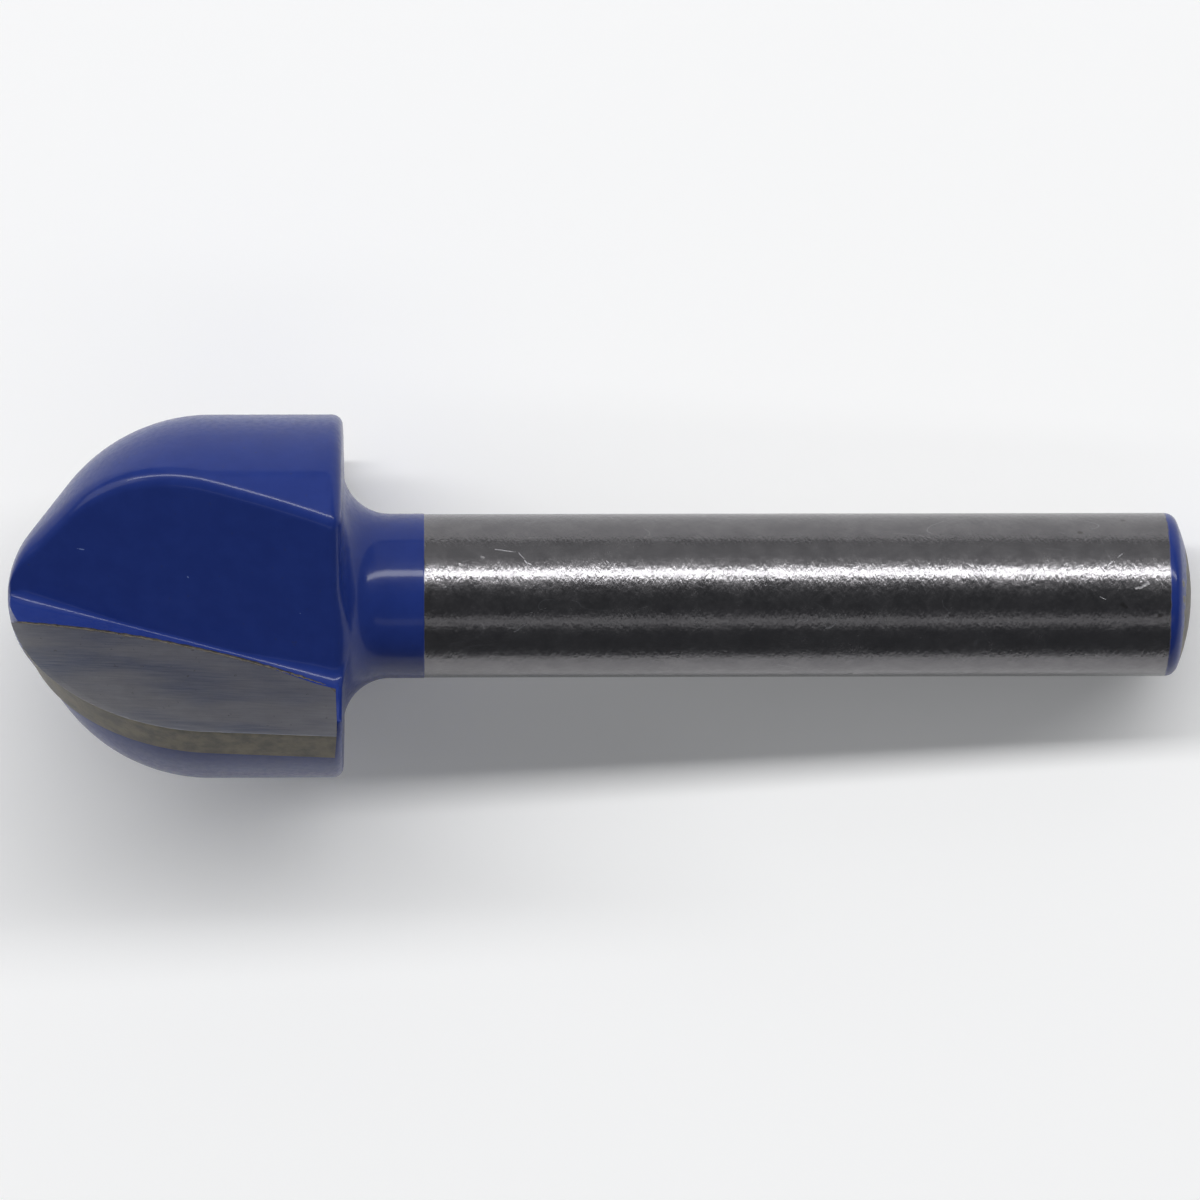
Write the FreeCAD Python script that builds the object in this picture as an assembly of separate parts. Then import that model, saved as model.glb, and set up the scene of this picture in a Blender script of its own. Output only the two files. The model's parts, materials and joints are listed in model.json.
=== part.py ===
import FreeCAD, Part
import math
import os

# Two-flute core box (round nose) router bit, lying as it comes to rest.
# It is built about its own axis first: +X from the nose to the end of the shank, -Y towards
# cutting edge A, +Z the way the rake face of edge A looks. Then all pieces are laid on the ground.

# Shank and neck, in millimetres
shank_diameter = 6.35        # quarter inch, gripped by the collet
overall_length = 46.0        # nose tip to the crown of the shank end
crown_radius = 6.0           # the end of the shank is slightly domed
crown_edge_radius = 0.2      # rounding between the dome and the shank
neck_length = 3.15           # painted neck behind the head, left unground
grinding_depth = 0.02        # the shank was ground after painting, the neck was not
neck_fillet = 1.8            # sweep from the neck to the back of the head

# Head
cutting_diameter = 15.88     # five eighths of an inch across the cutting edges
head_length = 13.05          # nose tip to the flat back of the head
land_setback = 0.89          # the turned steel stands this far inside the cutting circle
tip_radius = 4.0             # small round at the very nose of the steel
tip_setback = 0.05           # the steel nose stands this far behind the cutting profile
back_corner_radius = 0.35    # rounding of the head's back corner

# Gullets
web_half_thickness = 0.35    # at the nose each rake face lies this far ahead of the axis
shear_angle = 3.0            # the rake faces lean back towards the shank, degrees
wall_angle = 101.0           # gullet wall from the rake face, degrees
corner_start = 0.28          # gullet corner's distance from the axis at the nose
corner_slope = 18.7          # the corner runs outwards towards the shank, degrees
corner_radius = 0.52         # milled round between the wall and the rake face

# Carbide tips and their brazed seats
tip_thickness = 1.6
braze_thickness = 0.1
inner_edge_nose = 1.95       # inner edge of the carbide from the axis, at the nose
inner_edge_back = 5.2        # the same at the back end
inner_edge_bow = 0.69        # how far the inner edge bows towards the axis half way along
tip_back_gap = 0.2           # steel left standing behind the back end of the carbide
side_relief = 0.6            # drop of the clearance face across the carbide, at the side
nose_relief = 0.75           # the same at the nose
corner_clip = 0.3            # clipped inner corner at the back of the carbide

# Values worked out from the sizes above
shank_radius = shank_diameter / 2
neck_radius = shank_radius + grinding_depth
cutting_radius = cutting_diameter / 2
body_radius = cutting_radius - land_setback
nose_centre = cutting_radius
wall_turn = math.radians(wall_angle)
shear = math.tan(math.radians(shear_angle))
slope = math.tan(math.radians(corner_slope))
seat_level = web_half_thickness - tip_thickness - braze_thickness
tip_end = head_length - tip_back_gap
reach = 2 * cutting_diameter
axis_direction = FreeCAD.Vector(1, 0, 0)


def point(x, out, up=0.0):
    """A point by its distance along the axis, out towards cutting edge A, and up from the axis."""
    return FreeCAD.Vector(x, -out, up)


def line(start, end):
    return Part.LineSegment(start, end).toShape()


def arc(start, middle, end):
    return Part.Arc(start, middle, end).toShape()


def arc_about(centre, start, end, radius):
    """Short arc from start to end about a centre, in the plane of the three points."""
    towards = (start - centre) + (end - centre)
    return arc(start, centre + towards.normalize() * radius, end)


def crown_corner():
    """Centre of the round between the domed end and the shank, and its two tangent points."""
    dome_centre = overall_length - crown_radius
    out = shank_radius - crown_edge_radius
    along = math.sqrt((crown_radius - crown_edge_radius) ** 2 - out ** 2)
    centre = point(dome_centre + along, out)
    on_shank = point(dome_centre + along, shank_radius)
    share = crown_radius / (crown_radius - crown_edge_radius)
    on_dome = point(dome_centre + along * share, out * share)
    return centre, on_shank, on_dome


def turned_blank():
    """The steel before the gullets are milled: bullet nose, head, neck, shank and domed end."""
    tip_centre = tip_setback + tip_radius
    along = (body_radius - tip_radius) / (nose_centre - tip_centre)
    across = math.sqrt(1 - along ** 2)
    tip = point(tip_setback, 0)
    tip_tangent = point(tip_centre - tip_radius * along, tip_radius * across)
    nose_tangent = point(nose_centre - body_radius * along, body_radius * across)
    shoulder = point(nose_centre, body_radius)
    corner_in = point(head_length - back_corner_radius, body_radius)
    corner_out = point(head_length, body_radius - back_corner_radius)
    corner_centre = point(head_length - back_corner_radius, body_radius - back_corner_radius)
    fillet_top = point(head_length, neck_radius + neck_fillet)
    fillet_end = point(head_length + neck_fillet, neck_radius)
    fillet_centre = point(head_length + neck_fillet, neck_radius + neck_fillet)
    neck_end = point(head_length + neck_length, neck_radius)
    shank_start = point(head_length + neck_length, shank_radius)
    edge_centre, shank_end, dome_edge = crown_corner()
    dome_centre = point(overall_length - crown_radius, 0)
    dome_top = point(overall_length, 0)
    outline = Part.Wire([
        arc_about(point(tip_centre, 0), tip, tip_tangent, tip_radius),
        line(tip_tangent, nose_tangent),
        arc_about(point(nose_centre, 0), nose_tangent, shoulder, body_radius),
        line(shoulder, corner_in),
        arc_about(corner_centre, corner_in, corner_out, back_corner_radius),
        line(corner_out, fillet_top),
        arc_about(fillet_centre, fillet_top, fillet_end, neck_fillet),
        line(fillet_end, neck_end),
        line(neck_end, shank_start),
        line(shank_start, shank_end),
        arc_about(edge_centre, shank_end, dome_edge, crown_edge_radius),
        arc_about(dome_centre, dome_edge, dome_top, crown_radius),
        line(dome_top, tip),
    ])
    return Part.Face(outline).revolve(FreeCAD.Vector(0, 0, 0), axis_direction, 360)


def corner_out(x):
    """Distance of the sharp gullet corner from the axis plane, at a distance x from the nose."""
    return corner_start + slope * x


def leaned(shape):
    """Lean a shape of tooth A by the shear angle, so that the nose leads the cut."""
    shape.rotate(FreeCAD.Vector(0, 0, 0), FreeCAD.Vector(0, 1, 0), shear_angle)
    return shape


def gullet():
    """What the milling cutter takes out in front of edge A: a rounded wedge along a sloping line."""
    start = -tip_radius
    end = head_length + neck_fillet
    out, up = corner_out(start), web_half_thickness
    trim = corner_radius / math.tan(wall_turn / 2)
    wall = FreeCAD.Vector(0, -math.cos(wall_turn), math.sin(wall_turn))
    corner = point(start, out, up)
    on_face = point(start, out + trim, up)
    on_wall = corner + wall * trim
    centre = point(start, out + trim, up + corner_radius)
    face_far = point(start, out + reach, up)
    wall_far = corner + wall * reach
    outer = point(start, out + reach, up + reach)
    section = Part.Wire([
        line(face_far, on_face),
        arc_about(centre, on_face, on_wall, corner_radius),
        line(on_wall, wall_far),
        line(wall_far, outer),
        line(outer, face_far),
    ])
    length = end - start
    return leaned(Part.Face(section).extrude(FreeCAD.Vector(length, -slope * length, 0)))


def inner_edge(setback=0.0):
    """Start, middle and end of the carbide's bowed inner edge, moved towards the axis by setback."""
    nose_x = nose_centre - math.sqrt(cutting_radius ** 2 - inner_edge_nose ** 2)
    middle = (inner_edge_nose + inner_edge_back) / 2 - inner_edge_bow
    return [
        (nose_x, inner_edge_nose - setback),
        ((nose_x + tip_end) / 2, middle - setback),
        (tip_end, inner_edge_back - setback),
    ]


def tip_outline(up, radius, centre_x):
    """Outline of the carbide at one level: bowed inner edge, clipped corner, side and round nose."""
    (nose_x, nose_out), (mid_x, mid_out), (end_x, end_out) = inner_edge()
    start_x = centre_x - math.sqrt(radius ** 2 - nose_out ** 2)
    nose = point(start_x, nose_out, up)
    clip_start = point(end_x - corner_clip, end_out - corner_clip * math.tan(math.radians(20)), up)
    clip_end = point(end_x, end_out + corner_clip, up)
    back = point(end_x, radius, up)
    shoulder = point(centre_x, radius, up)
    bow = point(mid_x, mid_out, up)
    return Part.Wire([
        arc(nose, bow, clip_start),
        line(clip_start, clip_end),
        line(clip_end, back),
        line(back, shoulder),
        arc_about(point(centre_x, 0, up), shoulder, nose, radius),
    ])


def carbide_tip():
    """Flat carbide plate with a round nose, its outside relieved towards the back."""
    front = tip_outline(web_half_thickness, cutting_radius, nose_centre)
    back_radius = cutting_radius - side_relief
    back_centre = nose_centre + nose_relief - side_relief
    back = tip_outline(web_half_thickness - tip_thickness, back_radius, back_centre)
    return leaned(Part.makeLoft([front, back], True, True))


def seat():
    """The pocket milled for one carbide, open to the outside, with room for the braze."""
    (nose_x, nose_out), (mid_x, mid_out), (end_x, end_out) = inner_edge(braze_thickness)
    start = point(nose_x - tip_radius, nose_out, seat_level)
    nose = point(nose_x, nose_out, seat_level)
    bow = point(mid_x, mid_out, seat_level)
    end = point(end_x, end_out, seat_level)
    outline = Part.Wire([
        line(start, nose),
        arc(nose, bow, end),
        line(end, point(end_x, reach, seat_level)),
        line(point(end_x, reach, seat_level), point(start.x, reach, seat_level)),
        line(point(start.x, reach, seat_level), start),
    ])
    return leaned(Part.Face(outline).extrude(FreeCAD.Vector(0, 0, tip_thickness + braze_thickness)))


def opposite(shape):
    """The same shape for cutting edge B, half a turn round the axis."""
    turned = shape.copy()
    turned.rotate(FreeCAD.Vector(0, 0, 0), axis_direction, 180)
    return turned


def steel_body(blank):
    cuts = [gullet(), seat()]
    return blank.cut(cuts + [opposite(cut) for cut in cuts])


def braze_film(blank, tip):
    """Solder that fills the seat under the carbide and along its inner edge."""
    return blank.common(seat()).cut(tip)


def heel_at(x):
    """Where the gullet wall of edge A meets the land, in the section at a distance x."""
    out, up = corner_out(x), web_half_thickness - shear * x
    wall_out, wall_up = math.cos(wall_turn), math.sin(wall_turn)
    towards = out * wall_out + up * wall_up
    run = -towards + math.sqrt(towards ** 2 - out ** 2 - up ** 2 + body_radius ** 2)
    return FreeCAD.Vector(0, -(out + run * wall_out), up + run * wall_up)


def resting_placement():
    """Where the bit comes to rest: on edge B, on the heel of land A and on the end of the shank."""
    contact_x = head_length - back_corner_radius
    edge = FreeCAD.Vector(0, cutting_radius, shear * contact_x - web_half_thickness)
    heel = heel_at(contact_x) * -1
    chord = edge - heel
    down = FreeCAD.Vector(0, chord.z, -chord.y).normalize()
    if down.dot(edge) < 0:
        down = down * -1
    shank_end = crown_corner()[1].x
    tilt = math.atan2(down.dot(edge) - shank_radius, shank_end - contact_x)
    roll = math.degrees(math.atan2(-down.y, -down.z))
    laid = FreeCAD.Rotation(axis_direction, roll)
    tilted = FreeCAD.Rotation(FreeCAD.Vector(0, 1, 0), math.degrees(tilt))
    return FreeCAD.Placement(FreeCAD.Vector(0, 0, 0), tilted.multiply(laid))


def build():
    blank = turned_blank()
    tip = carbide_tip()
    film = braze_film(blank, tip)
    pieces = {
        "steel_body": steel_body(blank),
        "carbide_tip_a": tip,
        "carbide_tip_b": opposite(tip),
        "braze_joint_a": film,
        "braze_joint_b": opposite(film),
    }
    resting = resting_placement()
    laid = {name: shape.transformed(resting.toMatrix()) for name, shape in pieces.items()}
    box = Part.makeCompound(list(laid.values())).optimalBoundingBox(False, False)
    to_origin = FreeCAD.Vector(-box.Center.x, -box.Center.y, -box.ZMin)
    for name, shape in laid.items():
        shape.translate(to_origin)
        shape.exportStep(os.path.join("parts", name + ".step"))
    return laid


os.makedirs("parts", exist_ok=True)
build()
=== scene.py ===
import json
import math

import bpy
import bmesh
import numpy as np
from mathutils import Matrix, Vector


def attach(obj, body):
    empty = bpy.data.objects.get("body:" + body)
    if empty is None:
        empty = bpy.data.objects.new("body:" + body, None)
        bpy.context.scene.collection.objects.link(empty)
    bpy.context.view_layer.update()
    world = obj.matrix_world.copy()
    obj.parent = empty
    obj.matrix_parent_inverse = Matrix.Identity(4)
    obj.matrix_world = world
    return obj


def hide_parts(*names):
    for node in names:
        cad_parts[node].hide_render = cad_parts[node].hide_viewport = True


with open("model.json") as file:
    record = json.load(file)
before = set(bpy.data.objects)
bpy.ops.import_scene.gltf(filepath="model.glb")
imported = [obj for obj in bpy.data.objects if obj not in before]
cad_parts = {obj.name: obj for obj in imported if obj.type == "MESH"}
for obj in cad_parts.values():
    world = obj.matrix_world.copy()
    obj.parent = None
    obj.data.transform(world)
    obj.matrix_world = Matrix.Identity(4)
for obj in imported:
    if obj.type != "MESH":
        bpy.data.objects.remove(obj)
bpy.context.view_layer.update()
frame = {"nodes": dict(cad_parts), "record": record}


# The steel body: one bar of tool steel, turned to a ball-nosed head, a neck and a straight shank.
# Two gullets and two shallow seats are milled into the head, then the whole bit is dipped in blue
# enamel, and the shank is ground bright again for the collet.
mm = 0.001
shank_mount = frame["record"]["mounts"][0]
shank_direction = Vector(shank_mount["axis"]).normalized()
shank_middle = 30.589 * mm
resting_roll = math.radians(-54.69389)
resting_tilt = math.asin(-shank_direction.z)

shank_radius = shank_mount["dims"]["r_mm"] * mm
overall_length = 46.0 * mm
crown_radius = 7.5 * mm
crown_edge_radius = 0.5 * mm
head_length = 13.05 * mm
enamel_length = 16.2 * mm
neck_radius = shank_radius + 0.02 * mm
neck_fillet = 1.8 * mm
cutting_radius = 7.94 * mm
land_radius = 7.05 * mm
nose_round = 4.0 * mm
nose_setback = 0.05 * mm

web_half_thickness = 0.35 * mm
shear = math.radians(3.0)
wall_turn = math.radians(101.0)
corner_start = 0.28 * mm
corner_slope = math.tan(math.radians(18.7))
corner_radius = 0.52 * mm
heel_radius = 0.72 * mm

seat_depth = 1.7 * mm
seat_end = 12.85 * mm
inner_edge_nose = 1.95 * mm
inner_edge_back = 5.2 * mm
inner_edge_bow = 0.69 * mm
solder_gap = 0.1 * mm

nose_tip = Vector(shank_mount["pos_m"]) - shank_direction * shank_middle
tool_to_ground = (Matrix.Rotation(resting_tilt, 3, "Y") @ Matrix.Rotation(resting_roll, 3, "X"))


def laid_down(along, out, up):
    """Tool coordinates to the ground frame: nose tip plus along, out and up times the tool's axes.

    along runs from the nose to the shank's end, out towards cutting edge A, and up is the way
    that the rake face of edge A looks. All three are arrays of one shape.
    """
    axes = np.array(tool_to_ground)
    tool = np.stack([along, -out, up], axis=-1)
    return tool @ axes.T + np.array(nose_tip)


def leaned(along, out, up):
    """Turn points about the nose by the shear angle, so that a straight tooth leans as it does."""
    return (along * math.cos(shear) + up * math.sin(shear), out,
            up * math.cos(shear) - along * math.sin(shear))


def mesh_from_grid(name, points, closed_across):
    """Skin a grid of points with quads; with closed_across the last column meets the first."""
    rows, columns = points.shape[:2]
    index = np.arange(rows * columns).reshape(rows, columns)
    if closed_across:
        index = np.concatenate([index, index[:, :1]], axis=1)
    quads = np.stack([index[:-1, :-1], index[:-1, 1:], index[1:, 1:], index[1:, :-1]], axis=-1)
    mesh = bpy.data.meshes.new(name)
    mesh.from_pydata(points.reshape(-1, 3).tolist(), [], quads.reshape(-1, 4).tolist())
    return mesh


def finished_piece(mesh, crease_angle):
    """Merge doubled points, turn the faces outwards and put the mesh on a piece at the origin."""
    shell = bmesh.new()
    shell.from_mesh(mesh)
    bmesh.ops.remove_doubles(shell, verts=shell.verts, dist=0.0005 * mm)
    bmesh.ops.dissolve_degenerate(shell, edges=shell.edges, dist=0.0005 * mm)
    bmesh.ops.recalc_face_normals(shell, faces=shell.faces)
    shell.to_mesh(mesh)
    shell.free()
    mesh.shade_smooth()
    mesh.set_sharp_from_angle(angle=math.radians(crease_angle))
    piece = bpy.data.objects.new(mesh.name, mesh)
    bpy.context.scene.collection.objects.link(piece)
    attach(piece, "root")
    return piece


def turned_radius(along):
    """Radius of the turned steel: a small round at the nose, a cone, a ball and a cylinder."""
    round_centre = nose_setback + nose_round
    lean = (land_radius - nose_round) / (cutting_radius - round_centre)
    cone_start = round_centre - nose_round * lean
    cone_end = cutting_radius - land_radius * lean
    cone_run = math.sqrt(1 - lean ** 2)
    small = np.sqrt(np.maximum(nose_round ** 2 - (round_centre - along) ** 2, 0))
    cone = nose_round * cone_run + (along - cone_start) * lean / cone_run
    ball = np.sqrt(np.maximum(land_radius ** 2 - (cutting_radius - along) ** 2, 0))
    cylinder = np.full_like(along, land_radius)
    return np.select([along < cone_start, along < cone_end, along < cutting_radius],
                     [small, cone, ball], cylinder)


def carbide_inner_edge(along):
    """Distance of the carbide's inner edge from the axis: an arc through nose, bow and back end."""
    nose = cutting_radius - math.sqrt(cutting_radius ** 2 - inner_edge_nose ** 2)
    middle = (nose + seat_end) / 2
    bowed = (inner_edge_nose + inner_edge_back) / 2 - inner_edge_bow
    ends = np.array([[nose, inner_edge_nose], [middle, bowed], [seat_end, inner_edge_back]])
    chords = 2 * (ends[1:] - ends[0])
    squares = (ends[1:] ** 2).sum(axis=1) - (ends[0] ** 2).sum()
    centre = np.linalg.solve(chords, squares)
    bend = np.hypot(*(ends[0] - centre))
    return centre[1] - np.sqrt(bend ** 2 - (np.clip(along, nose, seat_end) - centre[0]) ** 2)


section_points = {"land": 72, "seat floor": 14, "seat wall": 6, "strip": 10, "corner": 14,
                  "wall": 52, "heel": 12}
half_ring = sum(section_points.values())


def milled_section(along, seated):
    """Half of the outline across the head, one point for each column of along.

    Going round: the land of tooth A on the turned radius, the seat's floor and wall, the strip of
    rake face, the round in the gullet's corner, the straight gullet wall, and the round over the
    heel. seated is 1 where the carbide's seat is cut and 0 where the land runs on to the face.
    """
    columns = np.cumsum([0] + list(section_points.values()))
    cut = {name: slice(columns[i], columns[i + 1]) for i, name in enumerate(section_points)}
    share = np.concatenate([np.linspace(0, 1, count, endpoint=False)
                            for count in section_points.values()])
    radius = turned_radius(along)
    face = web_half_thickness / math.cos(shear) - along * math.tan(shear)
    corner = corner_start + corner_slope * (along / math.cos(shear)
                                            - web_half_thickness * math.tan(shear))
    room = radius - np.hypot(corner, face)
    uneven = np.clip(np.maximum(1 - along / (4.5 * mm), along / (3 * mm) - 3), 0, 1)
    round_in = corner_radius * np.clip(room / (1.6 * mm), 0.02, 1) * (0.35 + 0.95 * uneven)
    round_over = heel_radius * np.clip(room / (2.2 * mm), 0.02, 1)
    wall_out = math.cos(wall_turn) - corner_slope * math.sin(wall_turn) * math.tan(shear)
    wall_up = math.sin(wall_turn) / math.cos(shear)
    turn = math.atan2(wall_up, wall_out)
    wall_out, wall_up = math.cos(turn), math.sin(turn)
    trim = round_in / math.tan(turn / 2)

    keel_out = corner - round_over * wall_up
    keel_up = face + round_over * wall_out
    towards = keel_out * wall_out + keel_up * wall_up
    run = -towards + np.sqrt(towards ** 2 - keel_out ** 2 - keel_up ** 2
                             + (radius - round_over) ** 2)
    heel_out = keel_out + run * wall_out
    heel_up = keel_up + run * wall_up
    heel_turn = np.arctan2(heel_up, heel_out)

    floor = (web_half_thickness - seat_depth) / math.cos(shear) - along * math.tan(shear)
    inner_low = carbide_inner_edge(along * math.cos(shear) - floor * math.sin(shear)) - solder_gap
    inner_top = carbide_inner_edge(along * math.cos(shear) - face * math.sin(shear)) - solder_gap
    reach_low = np.sqrt(np.maximum(radius ** 2 - inner_low ** 2, 0))
    reach_top = np.sqrt(np.maximum(radius ** 2 - inner_top ** 2, 0))
    lip_up = np.where(inner_low < radius, np.maximum(floor, -reach_low), 0)
    lip_out = np.sqrt(radius ** 2 - lip_up ** 2)
    lip_turn = np.arctan2(lip_up, lip_out)
    step_out = np.minimum(inner_low, lip_out)
    top_up = np.minimum(face, reach_top)
    top_out = np.minimum(inner_top, np.sqrt(radius ** 2 - top_up ** 2))
    edge_out = np.sqrt(radius ** 2 - face ** 2)
    edge_turn = np.arctan2(face, edge_out)
    strip_out = np.where(seated > 0.5, np.minimum(inner_top, edge_out), edge_out)

    out, up = np.empty_like(along), np.empty_like(along)
    here, way = cut["land"], share[cut["land"]]
    angle = heel_turn[:, here] - math.pi
    angle = angle + (lip_turn[:, here] - heel_turn[:, here] + math.pi) * way
    out[:, here] = radius[:, here] * np.cos(angle)
    up[:, here] = radius[:, here] * np.sin(angle)

    first = section_points["seat floor"] / (section_points["seat floor"]
                                            + section_points["seat wall"])
    seat_parts = (("seat floor", 0, first, lip_out, lip_up, step_out, lip_up),
                  ("seat wall", first, 1 - first, step_out, lip_up, top_out, top_up))
    for name, passed, part, from_out, from_up, to_out, to_up in seat_parts:
        here, way = cut[name], share[cut[name]]
        angle = lip_turn[:, here] + (edge_turn[:, here] - lip_turn[:, here]) * (passed + way * part)
        low = seated[:, here]
        seat_out = from_out[:, here] + (to_out[:, here] - from_out[:, here]) * way
        seat_up = from_up[:, here] + (to_up[:, here] - from_up[:, here]) * way
        out[:, here] = low * seat_out + (1 - low) * radius[:, here] * np.cos(angle)
        up[:, here] = low * seat_up + (1 - low) * radius[:, here] * np.sin(angle)

    here, way = cut["strip"], share[cut["strip"]]
    strip_end = np.minimum(corner[:, here] + trim[:, here], strip_out[:, here])
    out[:, here] = strip_out[:, here] + (strip_end - strip_out[:, here]) * way
    up[:, here] = face[:, here]
    here, way = cut["corner"], share[cut["corner"]]
    angle = -math.pi / 2 - (math.pi - turn) * way
    out[:, here] = corner[:, here] + trim[:, here] + round_in[:, here] * np.cos(angle)
    up[:, here] = face[:, here] + round_in[:, here] * (1 + np.sin(angle))
    here, way = cut["wall"], share[cut["wall"]]
    length = trim[:, here] + (run[:, here] - trim[:, here]) * way
    out[:, here] = corner[:, here] + length * wall_out
    up[:, here] = face[:, here] + length * wall_up
    here, way = cut["heel"], share[cut["heel"]]
    angle = (turn - math.pi / 2) + (heel_turn[:, here] - turn + math.pi / 2) * way
    out[:, here] = heel_out[:, here] + round_over[:, here] * np.cos(angle)
    up[:, here] = heel_up[:, here] + round_over[:, here] * np.sin(angle)
    return out, up


def both_halves(along, out, up):
    """The second half of each ring is the first turned by half a turn about the axis."""
    return (np.concatenate([along, along], axis=1), np.concatenate([out, -out], axis=1),
            np.concatenate([up, -up], axis=1))


def flat_back(reach):
    """Where the head's back face lies at a distance reach from the axis, fillet included."""
    dip = np.clip(neck_radius + neck_fillet - reach, 0, neck_fillet)
    return head_length + neck_fillet - np.sqrt(neck_fillet ** 2 - dip ** 2)


def inset_from_outline(out, up, edge_out, edge_up):
    """Shortest distance from each grid point to the closed outline, taken over its segments."""
    start = np.stack([edge_out, edge_up], axis=-1)
    span = np.roll(start, -1, axis=0) - start
    length = np.maximum((span ** 2).sum(axis=-1), 1e-18)
    offset = np.stack([out, up], axis=-1)[:, :, None, :] - start
    share = np.clip((offset * span).sum(axis=-1) / length, 0, 1)
    return np.sqrt(((offset - share[..., None] * span) ** 2).sum(axis=-1)).min(axis=-1)


# Nose cap: the first full section, shrunk towards the tip along the small round of the nose.
first_reach = 1.0 * mm
last_full_section = 12.4 * mm
first_along = nose_setback + nose_round - math.sqrt(nose_round ** 2 - first_reach ** 2)
closer_at_nose = np.linspace(0, 1, 104) ** 1.35
head_stops = first_along + (last_full_section - first_along) * closer_at_nose
rings = np.repeat(head_stops[:, None], half_ring, axis=1)
out, up = milled_section(rings, np.ones_like(rings))
cap_turns = np.linspace(0, 1, 8)[:-1] * math.asin(first_reach / nose_round)
cap_along = nose_setback + nose_round * (1 - np.cos(cap_turns))
shrink = nose_round * np.sin(cap_turns) / first_reach
along_rows = [np.repeat(cap_along[:, None], half_ring, axis=1), rings]
out_rows = [shrink[:, None] * out[:1], out]
up_rows = [shrink[:, None] * up[:1], up]

# Back of the head: the last rings run up to the rounded rim of the back face, without the seat.
rim = {"land": (0.58, 0.34), "seat floor": (0.34, 0.2), "seat wall": (0.2, 0.2),
       "strip": (0.2, 0.25), "corner": (0.25, 0.42), "wall": (0.42, 0.5), "heel": (0.5, 0.58)}
rim_radius = mm * np.concatenate([np.linspace(*rim[name], count)
                                  for name, count in section_points.items()])
probe = np.full((1, half_ring), seat_end)
out, up = milled_section(probe, np.zeros_like(probe))
rim_along = flat_back(np.hypot(out, up)) - rim_radius
steps = np.linspace(0, 1, 7)[1:, None]
rings = head_stops[-1] + (rim_along - head_stops[-1]) * steps
out, up = milled_section(rings, np.ones_like(rings))
along_rows += [rings, rings[-1:]]
edge_out, edge_up = milled_section(rings[-1:], np.zeros_like(probe))
out_rows += [out, edge_out]
up_rows += [up, edge_up]
head = both_halves(*[np.concatenate(rows) for rows in (along_rows, out_rows, up_rows)])

# Back face: straight lines from the outline to a circle on the neck fillet, rounded at the rim.
middle_reach = 4.05 * mm
edge_out, edge_up = head[1][-1], head[2][-1]
bearing = np.unwrap(np.arctan2(edge_up, edge_out))
bearing = np.maximum.accumulate(bearing)
window = 41
padded = np.concatenate([bearing[-window:] - 2 * math.pi, bearing, bearing[:window] + 2 * math.pi])
bearing = np.convolve(padded, np.ones(window) / window, "same")[window:-window]
inwards = np.array([0.006, 0.014, 0.024, 0.036, 0.05, 0.07, 0.1, 0.14, 0.19, 0.25, 0.33, 0.42, 0.5,
                    0.57, 0.64, 0.7, 0.76, 0.82, 0.88, 0.94, 1.0])[:, None]
out = edge_out + (middle_reach * np.cos(bearing) - edge_out) * inwards
up = edge_up + (middle_reach * np.sin(bearing) - edge_up) * inwards
inset = inset_from_outline(out, up, edge_out, edge_up)
rims = np.tile(rim_radius, 2)
drop = rims - np.sqrt(rims ** 2 - np.maximum(rims - inset, 0) ** 2)
back_face = (flat_back(np.hypot(out, up)) - drop, out, up)

# Neck, shank and crown: one turned profile, a list of distances along the axis and radii.
shank_stops = 48
fillet_turns = np.linspace(math.asin(1 - (middle_reach - neck_radius) / neck_fillet),
                           math.pi / 2, 14)[1:]
fillet_along = head_length + neck_fillet - neck_fillet * np.cos(fillet_turns)
fillet_reach = neck_radius + neck_fillet - neck_fillet * np.sin(fillet_turns)
lip_along = enamel_length + mm * np.array([-0.6, -0.08, -0.03, -0.008, 0.004])
lip_reach = neck_radius - mm * np.array([0, 0, 0.003, 0.012, 0.02])
crown_rise = math.sqrt((crown_radius - crown_edge_radius) ** 2
                       - (shank_radius - crown_edge_radius) ** 2)
crown_start = overall_length - crown_radius + crown_rise
shank_along = np.linspace(enamel_length + 0.1 * mm, crown_start, shank_stops)
rim_turns = np.linspace(0, math.atan2(crown_rise, shank_radius - crown_edge_radius), 7)[1:]
rim_end = crown_start + crown_edge_radius * np.sin(rim_turns)
rim_reach = shank_radius - crown_edge_radius * (1 - np.cos(rim_turns))
crown_turns = (math.pi / 2 - rim_turns[-1]) * np.linspace(1, 0, 14)[1:]
turned_along = np.concatenate([fillet_along, lip_along, shank_along, rim_end,
                               overall_length - crown_radius * (1 - np.cos(crown_turns))])
turned_reach = np.concatenate([fillet_reach, lip_reach, np.full(shank_stops, shank_radius),
                               rim_reach, crown_radius * np.sin(crown_turns)])
tail = (np.repeat(turned_along[:, None], 2 * half_ring, axis=1),
        turned_reach[:, None] * np.cos(bearing), turned_reach[:, None] * np.sin(bearing))

body_grid = laid_down(*[np.concatenate(rows) for rows in zip(head, back_face, tail)])
body = finished_piece(mesh_from_grid("enamelled_body", body_grid, True), 38)
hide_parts("steel_body")


def node_in(tree, kind, place, **sockets):
    """One shader node, placed in the editor, with values for its sockets and its properties."""
    node = tree.nodes.new(kind)
    node.location = place
    for name, value in sockets.items():
        if hasattr(node, name):
            setattr(node, name, value)
        else:
            node.inputs[name.replace("_", " ")].default_value = value
    return node


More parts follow.
